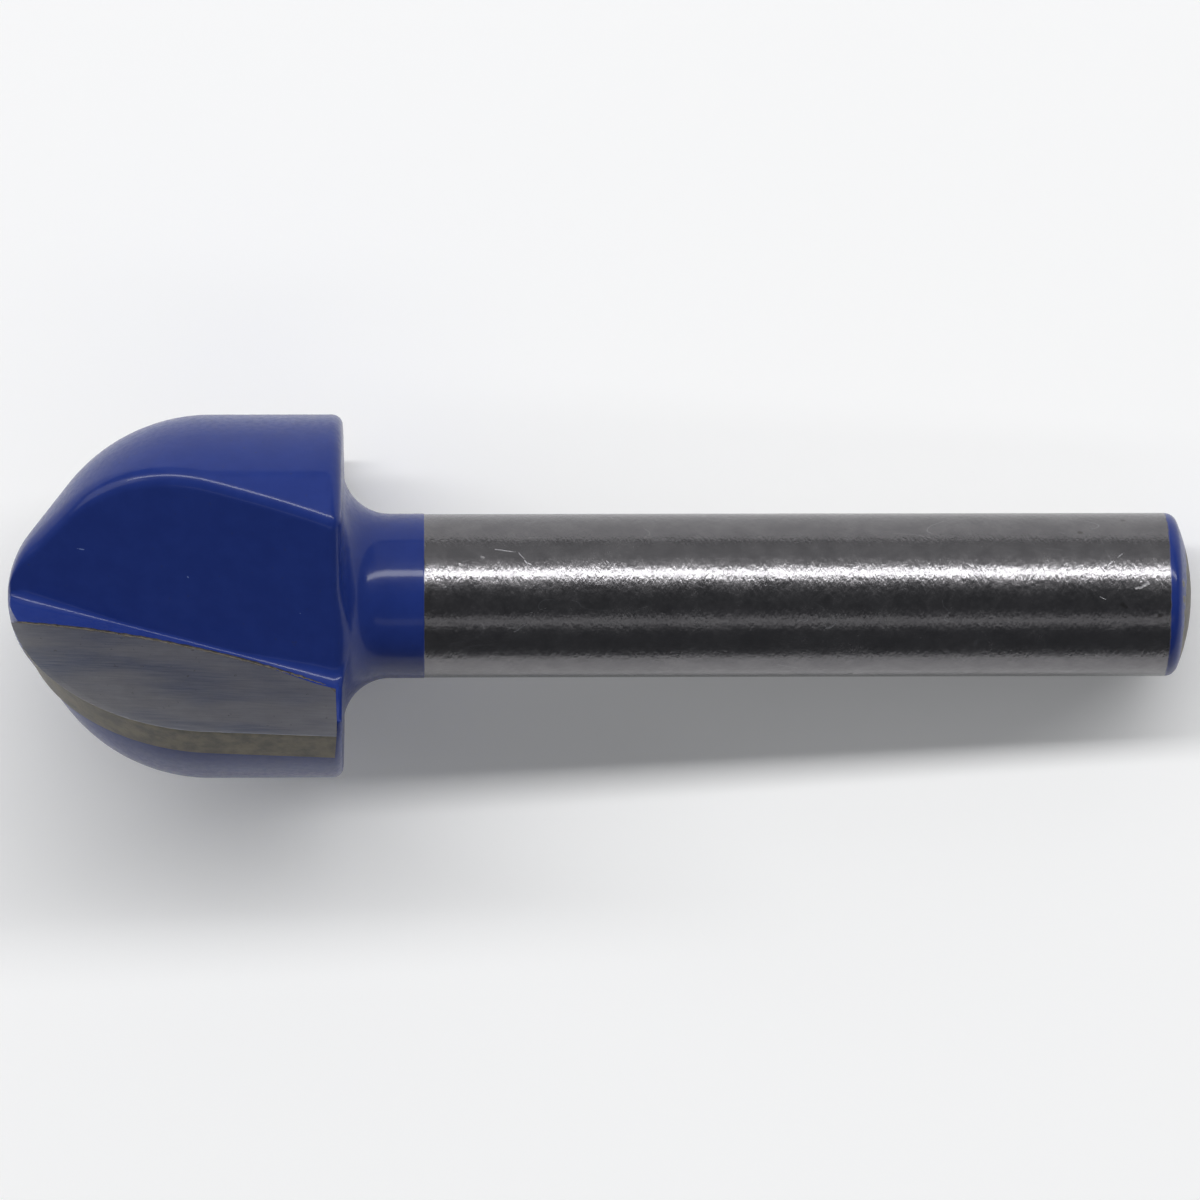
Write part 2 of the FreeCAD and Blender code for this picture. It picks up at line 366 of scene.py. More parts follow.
def effect_group(name, inputs, outputs):
    """An empty shader node group with its inputs, given as name, kind and value, and outputs."""
    tree = bpy.data.node_groups.new(name, "ShaderNodeTree")
    for label, kind, value in inputs:
        socket = tree.interface.new_socket(label, in_out="INPUT", socket_type=kind)
        if value is not None:
            socket.default_value = value
    for label, kind in outputs:
        tree.interface.new_socket(label, in_out="OUTPUT", socket_type=kind)
    start = node_in(tree, "NodeGroupInput", (-900, 0))
    end = node_in(tree, "NodeGroupOutput", (900, 0))
    return tree, start, end


def math_in(tree, place, operation, first, second=None, third=None, clamp=False):
    """A Math node whose operands are numbers or the outputs of other nodes; gives its output."""
    node = tree.nodes.new("ShaderNodeMath")
    node.location = place
    node.operation = operation
    node.use_clamp = clamp
    for socket, operand in zip(node.inputs, (first, second, third)):
        if isinstance(operand, (int, float)):
            socket.default_value = operand
        elif operand is not None:
            tree.links.new(operand, socket)
    return node.outputs["Value"]


def step_in(tree, place, value, low, high, rising=True):
    """A soft step: 0 to 1 as value runs from low to high, or 1 to 0 when it isn't rising."""
    node = tree.nodes.new("ShaderNodeMapRange")
    node.location = place
    node.interpolation_type = "SMOOTHSTEP"
    tree.links.new(value, node.inputs["Value"])
    node.inputs["From Min"].default_value = low
    node.inputs["From Max"].default_value = high
    node.inputs["To Min"].default_value = 0 if rising else 1
    node.inputs["To Max"].default_value = 1 if rising else 0
    return node.outputs["Result"]


def mix_in(tree, place, factor, first, second):
    """A colour mix whose inputs are numbers, colours or the outputs of other nodes."""
    node = tree.nodes.new("ShaderNodeMix")
    node.location = place
    node.data_type = "RGBA"
    for socket, operand in ((node.inputs[0], factor), (node.inputs[6], first),
                            (node.inputs[7], second)):
        if isinstance(operand, (int, float)):
            socket.default_value = operand
        elif isinstance(operand, tuple):
            socket.default_value = (*operand, 1)
        else:
            tree.links.new(operand, socket)
    return node.outputs[2]


def noise_in(tree, place, vector, size, detail=3.0, roughness=0.5):
    """Noise whose blotches are about size metres across; gives its 0 to 1 value."""
    node = tree.nodes.new("ShaderNodeTexNoise")
    node.location = place
    tree.links.new(vector, node.inputs["Vector"])
    node.inputs["Scale"].default_value = 1 / size
    node.inputs["Detail"].default_value = detail
    node.inputs["Roughness"].default_value = roughness
    return node.outputs["Fac"]


def stretched_in(tree, place, vector, turn, scale):
    """Turn and stretch a pattern's coordinates with a Mapping node."""
    node = tree.nodes.new("ShaderNodeMapping")
    node.location = place
    tree.links.new(vector, node.inputs["Vector"])
    node.inputs["Rotation"].default_value = turn
    node.inputs["Scale"].default_value = scale
    return node.outputs["Vector"]


def effect_in(tree, group, place, vector, **values):
    """An effect group placed in a material with its own values."""
    node = tree.nodes.new("ShaderNodeGroup")
    node.node_tree = group
    node.location = place
    tree.links.new(vector, node.inputs["Vector"])
    for name, value in values.items():
        node.inputs[name.replace("_", " ").capitalize()].default_value = value
    return node


# Handling grime: blotches a few tenths of a millimetre across, and small dark spots.
grime, start, end = effect_group(
    "handling grime",
    [("Vector", "NodeSocketVector", None), ("Size", "NodeSocketFloat", 0.4 * mm),
     ("Spots", "NodeSocketFloat", 0.5)],
    [("Blotches", "NodeSocketFloat"), ("Dark spots", "NodeSocketFloat")])
per_metre = math_in(grime, (-700, -100), "DIVIDE", 1.0, start.outputs["Size"])
broad = node_in(grime, "ShaderNodeTexNoise", (-500, 120), Detail=5.0, Roughness=0.62)
grime.links.new(start.outputs["Vector"], broad.inputs["Vector"])
grime.links.new(per_metre, broad.inputs["Scale"])
grime.links.new(step_in(grime, (-200, 120), broad.outputs["Fac"], 0.3, 0.72), end.inputs[0])
spots = node_in(grime, "ShaderNodeTexVoronoi", (-500, -200))
grime.links.new(start.outputs["Vector"], spots.inputs["Vector"])
grime.links.new(math_in(grime, (-620, -260), "MULTIPLY", per_metre, 0.55), spots.inputs["Scale"])
lone = math_in(grime, (-300, -320), "GREATER_THAN", broad.outputs["Fac"], 0.56)
near = math_in(grime, (-300, -200), "LESS_THAN", spots.outputs["Distance"],
               math_in(grime, (-420, -400), "MULTIPLY", start.outputs["Spots"], 0.3))
grime.links.new(math_in(grime, (-100, -220), "MULTIPLY", near, lone), end.inputs[1])

# Scratches: thin lines where a stretched, bent noise passes its middle value, kept in patches.
scratches, start, end = effect_group(
    "fine scratches",
    [("Vector", "NodeSocketVector", None), ("Width", "NodeSocketFloat", 0.01),
     ("Patches", "NodeSocketFloat", 0.55)],
    [("Scratches", "NodeSocketFloat")])
found = None
for turn_a, turn_b, run in ((0.5, 0.3, 900.0), (-0.7, 1.2, 700.0), (1.1, -0.6, 1100.0)):
    bent = stretched_in(scratches, (-700, run - 900), start.outputs["Vector"],
                        (turn_a, turn_b, turn_a + turn_b), (0.22, 1.0, 1.0))
    line = node_in(scratches, "ShaderNodeTexNoise", (-500, run - 900), Scale=run, Detail=0.0,
                   Distortion=0.35)
    scratches.links.new(bent, line.inputs["Vector"])
    away = math_in(scratches, (-300, run - 900), "ABSOLUTE",
                   math_in(scratches, (-400, run - 900), "SUBTRACT", line.outputs["Fac"], 0.5))
    thin = math_in(scratches, (-200, run - 900), "LESS_THAN", away, start.outputs["Width"])
    patch = node_in(scratches, "ShaderNodeTexNoise", (-500, run - 1100), Scale=run * 0.45,
                    Detail=1.0)
    shifted = stretched_in(scratches, (-700, run - 1100), start.outputs["Vector"],
                           (turn_b, 0, turn_a), (1, 1, 1))
    scratches.links.new(shifted, patch.inputs["Vector"])
    kept = math_in(scratches, (-100, run - 1000), "MULTIPLY", thin,
                   math_in(scratches, (-200, run - 1100), "GREATER_THAN", patch.outputs["Fac"],
                           start.outputs["Patches"]))
    found = kept if found is None else math_in(scratches, (100, run - 900), "MAXIMUM", found, kept)
scratches.links.new(found, end.inputs[0])


# One mark from a knock: all that lies within half its width of a line between two points.
mark, start, end = effect_group(
    "mark between two points",
    [("Vector", "NodeSocketVector", None), ("From", "NodeSocketVector", None),
     ("To", "NodeSocketVector", None), ("Width", "NodeSocketFloat", 0.05 * mm)],
    [("Mark", "NodeSocketFloat")])


def vector_in(tree, place, operation, first, second):
    """A Vector Math node of two outputs; gives the node."""
    node = tree.nodes.new("ShaderNodeVectorMath")
    node.location = place
    node.operation = operation
    tree.links.new(first, node.inputs[0])
    tree.links.new(second, node.inputs[3] if operation == "SCALE" else node.inputs[1])
    return node


bends = node_in(mark, "ShaderNodeTexNoise", (-1300, 100), Scale=1 / (0.45 * mm), Detail=1.0)
mark.links.new(start.outputs["Vector"], bends.inputs["Vector"])
pull = node_in(mark, "ShaderNodeVectorMath", (-1100, 100), operation="MULTIPLY_ADD")
mark.links.new(bends.outputs["Color"], pull.inputs[0])
pull.inputs[1].default_value = (0.22 * mm, 0.22 * mm, 0.22 * mm)
pull.inputs[2].default_value = (-0.11 * mm, -0.11 * mm, -0.11 * mm)
wavy = vector_in(mark, (-900, 100), "ADD", start.outputs["Vector"], pull.outputs["Vector"])
reach = vector_in(mark, (-700, 100), "SUBTRACT", wavy.outputs[0], start.outputs["From"])
whole = vector_in(mark, (-700, -100), "SUBTRACT", start.outputs["To"], start.outputs["From"])
covered = vector_in(mark, (-500, 100), "DOT_PRODUCT", reach.outputs[0], whole.outputs[0])
longest = vector_in(mark, (-500, -100), "DOT_PRODUCT", whole.outputs[0], whole.outputs[0])
share = math_in(mark, (-300, 0), "DIVIDE", covered.outputs["Value"], longest.outputs["Value"],
                clamp=True)
nearest = vector_in(mark, (-100, 0), "SCALE", whole.outputs[0], share)
aside = vector_in(mark, (100, 0), "DISTANCE", reach.outputs[0], nearest.outputs[0])
rough_edge = noise_in(mark, (-300, -300), start.outputs["Vector"], 0.07 * mm, detail=1.0)
half_width = math_in(mark, (100, -200), "MULTIPLY", start.outputs["Width"], rough_edge)
off_middle = math_in(mark, (300, 0), "DIVIDE", aside.outputs["Value"], half_width)
mark.links.new(math_in(mark, (500, 0), "MULTIPLY_ADD", off_middle, -1.8, 2.0, clamp=True),
               end.inputs[0])


def marks_in(tree, place, vector, width, lines):
    """The places touched by any of the lines, given in millimetres of the tool's own frame."""
    touched = None
    for first, last in lines:
        node = tree.nodes.new("ShaderNodeGroup")
        node.node_tree = mark
        node.location = place
        tree.links.new(vector, node.inputs["Vector"])
        node.inputs["From"].default_value = Vector(first) * mm
        node.inputs["To"].default_value = Vector(last) * mm
        node.inputs["Width"].default_value = 2 * width * mm
        touched = node.outputs["Mark"] if touched is None else math_in(
            tree, place, "MAXIMUM", touched, node.outputs["Mark"])
    return touched


def tool_coordinates(tree):
    """Object coordinates carried into the tool's own frame: X along the axis, from the nose."""
    ground_to_tool = tool_to_ground.inverted()
    place = node_in(tree, "ShaderNodeTexCoord", (-2200, 0))
    node = tree.nodes.new("ShaderNodeMapping")
    node.location = (-2000, 0)
    tree.links.new(place.outputs["Object"], node.inputs["Vector"])
    node.inputs["Rotation"].default_value = ground_to_tool.to_euler("XYZ")
    node.inputs["Location"].default_value = -(ground_to_tool @ nose_tip)
    return node.outputs["Vector"]


def surface_in(name):
    """A material with an empty tree but for its Principled shader and its output."""
    material = bpy.data.materials.new(name)
    material.use_nodes = True
    tree = material.node_tree
    shader = tree.nodes["Principled BSDF"]
    shader.location = (700, 0)
    tree.nodes["Material Output"].location = (1100, 0)
    return material, tree, shader


# Enamel and bare steel in one finish: the enamel ends on the neck and starts again on the crown,
# where it is worn off in the middle. The lists give marks in millimetres of the tool's frame.
finish, tree, shader = surface_in("blue enamel and ground steel")
tool = tool_coordinates(tree)
tool_axes = node_in(tree, "ShaderNodeSeparateXYZ", (-1800, 200))
tree.links.new(tool, tool_axes.inputs["Vector"])
along_axis = tool_axes.outputs["X"]

ragged = noise_in(tree, (-1600, 420), tool, 0.35 * mm, detail=4.0, roughness=0.65)
wander = math_in(tree, (-1400, 420), "MULTIPLY_ADD", ragged, 0.05 * mm, -0.025 * mm)
front_edge = math_in(tree, (-1200, 420), "ADD", along_axis, wander)
front = step_in(tree, (-1000, 420), front_edge, enamel_length - 0.012 * mm,
                enamel_length + 0.008 * mm, rising=False)
crown_edge = math_in(tree, (-1200, 250), "MULTIPLY_ADD", wander, 2.2, along_axis)
crown = step_in(tree, (-1000, 250), crown_edge, crown_start - 0.05 * mm, crown_start + 0.03 * mm)
worn_centre = (0.0, -0.26 * mm, -0.31 * mm)
across = node_in(tree, "ShaderNodeVectorMath", (-1600, 60), operation="MULTIPLY")
tree.links.new(tool, across.inputs[0])
across.inputs[1].default_value = (0, 1, 1)
from_worn = node_in(tree, "ShaderNodeVectorMath", (-1400, 60), operation="DISTANCE")
tree.links.new(across.outputs["Vector"], from_worn.inputs[0])
from_worn.inputs[1].default_value = worn_centre
worn_reach = math_in(tree, (-1200, 60), "MULTIPLY_ADD", ragged, 0.5 * mm,
                     from_worn.outputs["Value"])
worn = step_in(tree, (-1000, 60), worn_reach, 2.66 * mm, 2.74 * mm, rising=False)
crown_chips = (
    ((45.47, -1.84, 2.06), (45.48, -1.83, 2.05)), ((45.52, -2.14, 1.55), (45.53, -2.18, 1.48)),
    ((45.56, -2.31, 1.02), (45.56, -2.32, 1.00)))
chipped = marks_in(tree, (-1200, -120), tool, 0.17, crown_chips)
bare_end = math_in(tree, (-800, 0), "MAXIMUM", worn, chipped)
painted_end = math_in(tree, (-600, 100), "MULTIPLY", crown,
                      math_in(tree, (-700, 0), "SUBTRACT", 1.0, bare_end))
enamel = math_in(tree, (-400, 300), "MAXIMUM", front, painted_end)

film = effect_in(tree, grime, (-1600, -400), tool, size=0.9 * mm, spots=0.35)
fine_film = effect_in(tree, grime, (-1600, -620), tool, size=0.22 * mm, spots=0.45)
scratched = effect_in(tree, scratches, (-1600, -840), tool, width=0.0025, patches=0.62)

deep_blue, light_blue = (0.011, 0.027, 0.162), (0.013, 0.031, 0.178)
enamel_nicks = (
    ((11.42, -3.65, 2.22), (11.46, -3.61, 2.18)), ((2.84, -0.66, 2.94), (3.10, -0.73, 3.00)),
    ((7.10, -2.10, 2.75), (7.25, -2.20, 2.72)), ((4.60, -1.20, 2.90), (4.66, -1.22, 2.89)))
blue = mix_in(tree, (-900, -350), film.outputs["Blotches"], deep_blue, light_blue)
blue = mix_in(tree, (-800, -350), marks_in(tree, (-1600, -500), tool, 0.03, enamel_nicks),
              blue, (0.12, 0.17, 0.36))
blue = mix_in(tree, (-700, -350), math_in(tree, (-800, -450), "MULTIPLY",
                                          fine_film.outputs["Dark spots"], 0.5),
              blue, (0.02, 0.03, 0.1))
dark_steel, bright_steel = (0.148, 0.144, 0.150), (0.182, 0.177, 0.183)
steel = mix_in(tree, (-900, -600), film.outputs["Blotches"], dark_steel, bright_steel)
steel = mix_in(tree, (-700, -600), math_in(tree, (-800, -700), "MULTIPLY",
                                           fine_film.outputs["Dark spots"], 0.35),
               steel, (0.12, 0.11, 0.11))
knock_lines = (
    ((18.92, -0.85, 3.06), (19.35, -0.93, 3.04)), ((19.35, -0.93, 3.04), (19.75, -1.02, 3.01)),
    ((19.75, -1.02, 3.01), (20.15, -1.39, 2.85)), ((20.15, -1.39, 2.85), (20.32, -1.50, 2.80)),
    ((20.34, -2.81, 1.48), (20.87, -2.71, 1.65)), ((19.65, -3.08, 0.76), (20.26, -2.94, 1.19)),
    ((31.66, -3.06, 0.86), (32.04, -2.98, 1.09)), ((43.13, -1.07, 2.99), (42.53, -1.61, 2.73)),
    ((23.18, -1.30, 2.90), (23.30, -1.42, 2.84)), ((42.20, -2.50, 1.98), (42.42, -2.54, 1.90)))
dent_lines = (
    ((18.44, -1.22, 2.94), (18.48, -1.25, 2.92)), ((17.58, -1.45, 2.83), (17.63, -1.47, 2.81)),
    ((43.60, -2.25, 2.24), (43.86, -2.18, 2.31)), ((43.86, -2.18, 2.31), (44.05, -2.12, 2.37)))
stain_spots = (
    ((41.50, -0.02, 3.17), (41.56, -0.02, 3.17)), ((43.24, 0.75, 3.08), (43.29, 0.75, 3.08)),
    ((44.50, -2.87, 1.37), (44.56, -2.87, 1.36)), ((43.05, -2.64, 1.75), (43.25, -2.69, 1.67)))
knocks = marks_in(tree, (-1600, -900), tool, 0.024, knock_lines)
dents = marks_in(tree, (-1600, -1000), tool, 0.06, dent_lines)
stains = marks_in(tree, (-1600, -1100), tool, 0.08, stain_spots)
knocked = math_in(tree, (-1000, -950), "MAXIMUM", knocks, dents)
steel = mix_in(tree, (-650, -600), math_in(tree, (-700, -760), "MULTIPLY",
                                           scratched.outputs["Scratches"], 0.25),
               steel, (0.5, 0.5, 0.52))
steel = mix_in(tree, (-620, -600), math_in(tree, (-700, -820), "MULTIPLY", knocks, 0.45),
               steel, (0.45, 0.45, 0.47))
steel = mix_in(tree, (-600, -600), math_in(tree, (-700, -850), "MULTIPLY", dents, 0.3),
               steel, (0.40, 0.40, 0.41))
steel = mix_in(tree, (-550, -600), math_in(tree, (-700, -880), "MULTIPLY", stains, 0.6),
               steel, (0.08, 0.075, 0.07))
end_rust = math_in(tree, (-500, -800), "MULTIPLY", crown, bare_end)
steel = mix_in(tree, (-400, -600), end_rust, steel, (0.13, 0.12, 0.10))
tree.links.new(mix_in(tree, (-100, 0), enamel, steel, blue), shader.inputs["Base Color"])

metal = math_in(tree, (-100, -150), "SUBTRACT", 1.0, enamel)
tree.links.new(metal, shader.inputs["Metallic"])
steel_rough = math_in(tree, (-350, -900), "MULTIPLY_ADD", film.outputs["Blotches"], 0.035, 0.18)
steel_rough = math_in(tree, (-300, -900), "MULTIPLY_ADD", fine_film.outputs["Blotches"], 0.07,
                      steel_rough)
steel_rough = math_in(tree, (-250, -900), "MULTIPLY_ADD", knocked, 0.2, steel_rough)
steel_rough = math_in(tree, (-200, -900), "MULTIPLY_ADD", end_rust, 0.25, steel_rough)
blue_rough = math_in(tree, (-300, -1000), "MULTIPLY_ADD", fine_film.outputs["Blotches"], 0.12,
                     0.28)
rough = math_in(tree, (-100, -300), "ADD", math_in(tree, (-200, -900), "MULTIPLY", metal,
                                                   steel_rough),
                math_in(tree, (-200, -1000), "MULTIPLY", enamel, blue_rough))
tree.links.new(rough, shader.inputs["Roughness"])
tree.links.new(math_in(tree, (300, -200), "MULTIPLY", enamel, 0.32), shader.inputs["Coat Weight"])
shader.inputs["Coat Roughness"].default_value = 0.12
shader.inputs["Coat IOR"].default_value = 1.5
shader.inputs["Specular IOR Level"].default_value = 0.1

turning = stretched_in(tree, (-1600, -1150), tool, (0, 0, 0), (1.0, 0.4, 0.4))
turning_marks = noise_in(tree, (-1400, -1150), turning, 0.12 * mm, detail=2.0, roughness=0.65)
steel_height = math_in(tree, (-800, -1100), "MULTIPLY_ADD", knocked, -0.15, turning_marks)
enamel_wave = noise_in(tree, (-1400, -1350), tool, 1.3 * mm, detail=2.0)
height = math_in(tree, (-400, -1150), "ADD",
                 math_in(tree, (-600, -1100), "MULTIPLY", steel_height,
                         math_in(tree, (-700, -1200), "MULTIPLY", metal, 0.019 * mm)),
                 math_in(tree, (-600, -1350), "MULTIPLY", enamel,
                         math_in(tree, (-800, -1350), "MULTIPLY_ADD", enamel_wave, 0.02 * mm,
                                 math_in(tree, (-900, -1450), "MULTIPLY",
                                         fine_film.outputs["Blotches"], 0.0012 * mm))))
relief = node_in(tree, "ShaderNodeBump", (300, -700), Strength=1.0, Distance=1.0)
tree.links.new(height, relief.inputs["Height"])
tree.links.new(relief.outputs["Normal"], shader.inputs["Normal"])
body.data.materials.append(finish)


# The two cutting plates: sintered tungsten carbide, ground flat on the face and relieved behind
# the round edge by a fine diamond wheel, which leaves small chips along the edge.
tip_thickness = 1.6 * mm
side_relief = 0.6 * mm
nose_relief = 0.75 * mm
corner_clip = 0.3 * mm
flank_columns = slice(18, 32)    # of a plate's section, after the face and the blunt edge
edge_chips = np.random.default_rng(7)


def carbide_plate(name, side):
    """One plate as a closed section carried from the nose to the back end.

    Each section starts at the inner edge, runs out over the flat face to the cutting edge, turns
    over it by a few hundredths, follows the relieved flank down to the back, and returns. The
    inner edge is the bowed arc, and the outer one a quarter circle that runs on straight; at the
    back level the circle is smaller and its centre lies further from the nose. side is 1 for edge
    A and -1 for edge B, half a turn round.
    """
    stations = 260
    travel = np.linspace(0, 1, stations) ** 1.15
    flank_radius = cutting_radius - side_relief
    flank_centre = cutting_radius + nose_relief - side_relief
    levels = []
    for radius, centre in ((cutting_radius, cutting_radius), (flank_radius, flank_centre)):
        nose = centre - math.sqrt(radius ** 2 - inner_edge_nose ** 2)
        turn = math.acos(inner_edge_nose / radius)
        arc, straight = radius * turn, seat_end - centre
        run = travel * (arc + straight)
        angle = turn * (1 - np.minimum(run / arc, 1))
        outer = (centre - radius * np.sin(angle) + np.maximum(run - arc, 0),
                 radius * np.cos(angle))
        inner_along = nose + (seat_end - nose) * travel
        inner_out = carbide_inner_edge(np.minimum(inner_along, seat_end - corner_clip))
        inner_out += np.maximum(inner_along - (seat_end - corner_clip), 0) * 1.35
        levels.append((inner_along, np.minimum(inner_out, outer[1]), *outer))
    (in_x, in_y, out_x, out_y), (back_in_x, back_in_y, back_x, back_y) = levels

    fine = edge_chips.random(stations)
    chip = np.convolve(np.where(fine > 0.93, (fine - 0.93) * 14, 0), [0.25, 1, 0.5], "same")
    blunt = mm * (0.018 + 0.05 * chip)
    towards_x, towards_y = in_x - out_x, in_y - out_y
    width = np.maximum(np.hypot(towards_x, towards_y), 1e-9)
    towards_x, towards_y = towards_x / width, towards_y / width
    blunt = np.minimum(blunt, 0.4 * width)

    columns = []
    for share in np.linspace(0, 1, 16):
        edge_x, edge_y = out_x + towards_x * blunt, out_y + towards_y * blunt
        columns.append((in_x + (edge_x - in_x) * share, in_y + (edge_y - in_y) * share,
                        np.full(stations, web_half_thickness)))
    for turn in (0.35, 0.7):
        columns.append((out_x + towards_x * blunt * (1 - turn),
                        out_y + towards_y * blunt * (1 - turn),
                        web_half_thickness - blunt * (turn ** 2)))
    for share in np.linspace(0, 1, 8):
        drop = blunt + (tip_thickness - blunt) * share
        level = drop / tip_thickness
        columns.append((out_x + (back_x - out_x) * level, out_y + (back_y - out_y) * level,
                        web_half_thickness - drop))
    for share in np.linspace(0, 1, 6)[1:]:
        columns.append((back_x + (back_in_x - back_x) * share,
                        back_y + (back_in_y - back_y) * share,
                        np.full(stations, web_half_thickness - tip_thickness)))
    for share in np.linspace(0, 1, 8)[1:-1]:
        columns.append((back_in_x + (in_x - back_in_x) * share,
                        back_in_y + (in_y - back_in_y) * share,
                        np.full(stations, web_half_thickness - tip_thickness * (1 - share))))
    along, out, up = (np.stack(values, axis=1) for values in zip(*columns))
    along, out, up = (np.concatenate([rows, rows[-1:].mean(axis=1, keepdims=True)
                                      + 0 * rows[-1:]]) for rows in (along, out, up))
    along, out, up = leaned(along, out, up)
    mesh = mesh_from_grid(name, laid_down(along, side * out, side * up), True)
    on_flank = np.zeros(along.shape)
    on_flank[:, flank_columns] = 1
    mesh.attributes.new("flank", "FLOAT", "POINT").data.foreach_set("value", on_flank.ravel())
    plate = finished_piece(mesh, 30)
    return plate


carbide_a = carbide_plate("cutting_plate_a", 1)
carbide_b = carbide_plate("cutting_plate_b", -1)
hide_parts("carbide_tip_a")
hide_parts("carbide_tip_b")

carbide, tree, shader = surface_in("ground carbide")
tool = tool_coordinates(tree)
grinding_lean = (0, 0, math.radians(17))
lengthways = stretched_in(tree, (-1700, 100), tool, grinding_lean, (0.03, 1.0, 1.0))
streaks = noise_in(tree, (-1500, 100), lengthways, 0.07 * mm, detail=4.0, roughness=0.6)
film = effect_in(tree, grime, (-1500, -150), tool, size=0.6 * mm, spots=0.5)
fine_film = effect_in(tree, grime, (-1500, -350), tool, size=0.2 * mm, spots=0.6)
widened = stretched_in(tree, (-1700, 300), tool, grinding_lean, (0.3, 1.0, 1.0))
broad_wear = noise_in(tree, (-1500, 300), widened, 2.2 * mm, detail=2.0)
shade = mix_in(tree, (-1300, 300), step_in(tree, (-1400, 300), broad_wear, 0.4, 0.62),
               (0.072, 0.080, 0.112), (0.130, 0.129, 0.138))
shade = mix_in(tree, (-1100, 100), math_in(tree, (-1200, 100), "MULTIPLY_ADD", streaks, 1.2, -0.38,
                                           clamp=True),
               shade, (0.20, 0.20, 0.205))
flank = node_in(tree, "ShaderNodeAttribute", (-1300, -400))
flank.attribute_name = "flank"
olive = mix_in(tree, (-1100, -400), film.outputs["Blotches"], (0.060, 0.056, 0.045),
               (0.135, 0.112, 0.072))
shade = mix_in(tree, (-1000, 100), flank.outputs["Fac"], shade, olive)
shade = mix_in(tree, (-900, 100), math_in(tree, (-1000, -50), "MULTIPLY",
                                          film.outputs["Blotches"], 0.2),
               shade, (0.09, 0.088, 0.085))
shade = mix_in(tree, (-700, 100), math_in(tree, (-800, -200), "MULTIPLY",
                                          fine_film.outputs["Dark spots"], 0.5),
               shade, (0.05, 0.045, 0.04))
tree.links.new(shade, shader.inputs["Base Color"])
shader.inputs["Metallic"].default_value = 0.55
tree.links.new(math_in(tree, (-500, -200), "MULTIPLY_ADD", streaks, 0.15, 0.36),
               shader.inputs["Roughness"])
relief = node_in(tree, "ShaderNodeBump", (300, -400), Strength=1.0, Distance=1.0)
tree.links.new(math_in(tree, (-300, -400), "MULTIPLY",
                       math_in(tree, (-500, -400), "ADD", streaks,
                               fine_film.outputs["Blotches"]), 0.0016 * mm),
               relief.inputs["Height"])
tree.links.new(relief.outputs["Normal"], shader.inputs["Normal"])
for plate in (carbide_a, carbide_b):
    plate.data.materials.append(carbide)


# The braze: a film of silver solder, drawn in between each plate and its seat when the head is
# heated. It shows as a dull tan line round the plate.
def solder_bead(name, side, seed):
    """The solder that stands proud of the joint along a plate's inner edge.

    A flattened half round, laid along the inner edge from the nose to the back, whose width and
    height wander along the joint; its underside closes it just below the rake face.
    """
    rng = np.random.default_rng(seed)
    stations = 340
    coarse = np.interp(np.linspace(0, 1, stations), np.linspace(0, 1, 60), rng.random(60))
    fine = np.interp(np.linspace(0, 1, stations), np.linspace(0, 1, 170), rng.random(170))
    taper = np.sqrt(np.sin(np.linspace(0, math.pi, stations)) + 1e-4)
    along = np.linspace(0.32 * mm, 12.5 * mm, stations)
    width = mm * (0.075 + 0.08 * coarse + 0.05 * fine) * np.minimum(taper * 2, 1)
    height = mm * (0.012 + 0.035 * coarse) * np.minimum(taper * 2, 1)
    middle = carbide_inner_edge(along) - solder_gap / 2 + mm * 0.03 * (fine - 0.5)
    angle = np.concatenate([np.linspace(0, math.pi, 11), [math.pi * 1.25, math.pi * 1.75]])
    across = np.cos(angle) * np.where(angle > math.pi, 1.1, 1)
    out = middle[:, None] + width[:, None] / 2 * across
    up = web_half_thickness + height[:, None] * np.sin(angle)
    along = along[:, None] + 0 * out
    along, out, up = (np.concatenate([rows[:1].mean(axis=1, keepdims=True) + 0 * rows[:1], rows,
                                      rows[-1:].mean(axis=1, keepdims=True) + 0 * rows[-1:]])
                      for rows in (along, out, up))
    along, out, up = leaned(along, out, up)
    bead = finished_piece(mesh_from_grid(name, laid_down(along, side * out, side * up), True), 60)
    return bead


beads = (solder_bead("solder_bead_a", 1, 3), solder_bead("solder_bead_b", -1, 4))
solder, tree, shader = surface_in("dull silver solder")
tool = tool_coordinates(tree)
film = effect_in(tree, grime, (-1500, -150), tool, size=0.25 * mm, spots=0.9)
shade = mix_in(tree, (-900, 100), film.outputs["Blotches"], (0.055, 0.049, 0.040),
               (0.155, 0.134, 0.105))
shade = mix_in(tree, (-700, 100), film.outputs["Dark spots"], shade, (0.05, 0.04, 0.04))
tree.links.new(shade, shader.inputs["Base Color"])
shader.inputs["Metallic"].default_value = 0.7
tree.links.new(math_in(tree, (-500, -200), "MULTIPLY_ADD", film.outputs["Blotches"], 0.25, 0.4),
               shader.inputs["Roughness"])
relief = node_in(tree, "ShaderNodeBump", (300, -400), Strength=1.0, Distance=1.0)
tree.links.new(math_in(tree, (-500, -400), "MULTIPLY", film.outputs["Blotches"], 0.012 * mm),
               relief.inputs["Height"])
tree.links.new(relief.outputs["Normal"], shader.inputs["Normal"])
for bead in beads:
    bead.data.materials.append(solder)
for name in ("braze_joint_a", "braze_joint_b"):
    joint = frame["nodes"][name]
    for holder in joint.material_slots:
        holder.material = solder


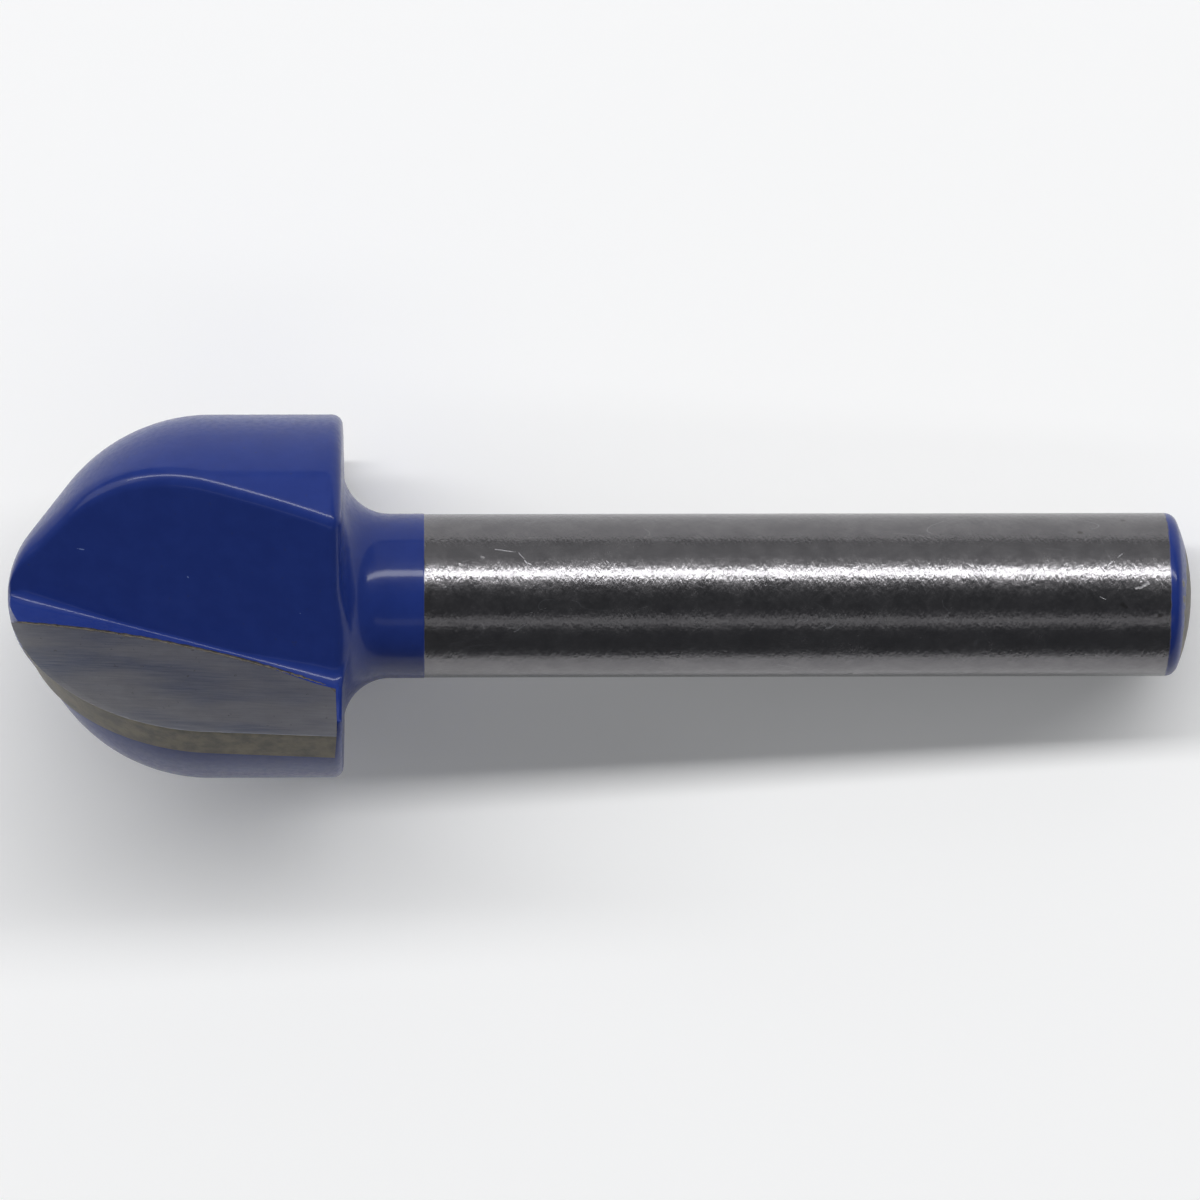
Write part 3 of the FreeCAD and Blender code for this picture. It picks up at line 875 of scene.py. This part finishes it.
# The floor isn't part of the tool: it is a sheet of white paper, wide enough to fill the view,
# laid flat under soft studio light. The camera looks down on it, as in the photo.
paper_size = 0.9
paper_mesh = bpy.data.meshes.new("paper")
paper_mesh.from_pydata([(-paper_size, -paper_size, 0), (paper_size, -paper_size, 0),
                        (paper_size, paper_size, 0), (-paper_size, paper_size, 0)],
                       [], [(0, 1, 2, 3)])
paper = bpy.data.objects.new("paper", paper_mesh)
bpy.context.scene.collection.objects.link(paper)
paper_finish, tree, shader = surface_in("white paper")
shader.inputs["Base Color"].default_value = (0.9, 0.9, 0.9, 1)
shader.inputs["Roughness"].default_value = 0.9
shader.inputs["Specular IOR Level"].default_value = 0.1
looked_at = node_in(tree, "ShaderNodeLightPath", (0, -300))
seen = math_in(tree, (250, -300), "MAXIMUM", looked_at.outputs["Is Camera Ray"],
               looked_at.outputs["Is Glossy Ray"])
tree.links.new(math_in(tree, (450, -300), "MULTIPLY", seen, 0.11),
               shader.inputs["Emission Strength"])
shader.inputs["Emission Color"].default_value = (1, 1, 1, 1)
paper_mesh.materials.append(paper_finish)

world = bpy.data.worlds.new("studio")
bpy.context.scene.world = world
world.use_nodes = True
world.node_tree.nodes["Background"].inputs["Color"].default_value = (0.9, 0.94, 1.0, 1)
world.node_tree.nodes["Background"].inputs["Strength"].default_value = 0.12

camera_roll = math.radians(4.7)
camera_tilt = math.radians(1.36)
photo_scale = 0.03886 * mm
photo_width = 1200
camera_pixels = 7470
axis_row = 595.5
nose_column = 7.5

across_floor = Vector((0, 1, 0))
above_axis = shank_direction.cross(across_floor)
photo_right = shank_direction * math.cos(camera_tilt) + above_axis * math.sin(camera_tilt)
photo_back = photo_right.cross(across_floor) * math.cos(camera_roll)
photo_back += across_floor * math.sin(camera_roll)
photo_up = photo_back.cross(photo_right)
centre = nose_tip + shank_direction * ((photo_width / 2 - nose_column) * photo_scale)
centre -= photo_up * ((photo_width / 2 - axis_row) * photo_scale)
camera = bpy.data.objects.new("camera", bpy.data.cameras.new("camera"))
bpy.context.scene.collection.objects.link(camera)
camera.data.sensor_width = 36
camera.data.lens = 36 * camera_pixels / photo_width
camera.data.clip_start = 0.01
camera.matrix_world = Matrix.Translation(centre + photo_back * (camera_pixels * photo_scale)) @ (
    Matrix((photo_right, photo_up, photo_back)).transposed().to_4x4())
bpy.context.scene.camera = camera


def soft_light(name, lean, side, distance, size, brightness):
    """A rectangular lamp that faces the bit, as bright as so many sheets of lit white paper.

    lean turns it from the view direction towards the photo's top, and side towards its right.
    """
    lamp = bpy.data.lights.new(name, "AREA")
    lamp.shape = "RECTANGLE"
    lamp.size, lamp.size_y = size
    lamp.energy = brightness * math.pi * size[0] * size[1]
    holder = bpy.data.objects.new(name, lamp)
    bpy.context.scene.collection.objects.link(holder)
    lean, side = math.radians(lean), math.radians(side)
    away = photo_back * math.cos(lean) + photo_up * math.sin(lean)
    across = photo_right * math.cos(side) - away * math.sin(side)
    away = photo_right * math.sin(side) + away * math.cos(side)
    holder.matrix_world = Matrix.Translation(away * distance) @ (
        Matrix((across, away.cross(across), away)).transposed().to_4x4())
    return holder


soft_light("key strip", 31.5, 0, 1.0, (2.8, 0.14), 13.0)
soft_light("second strip", -37, 0, 1.1, (1.6, 0.18), 0.7)
soft_light("window", 62, 0, 1.3, (1.6, 0.9), 0.4)
soft_light("nose light", 25, -62, 1.0, (0.5, 0.5), 1.6)

scene = bpy.context.scene
scene.view_settings.view_transform = "Standard"
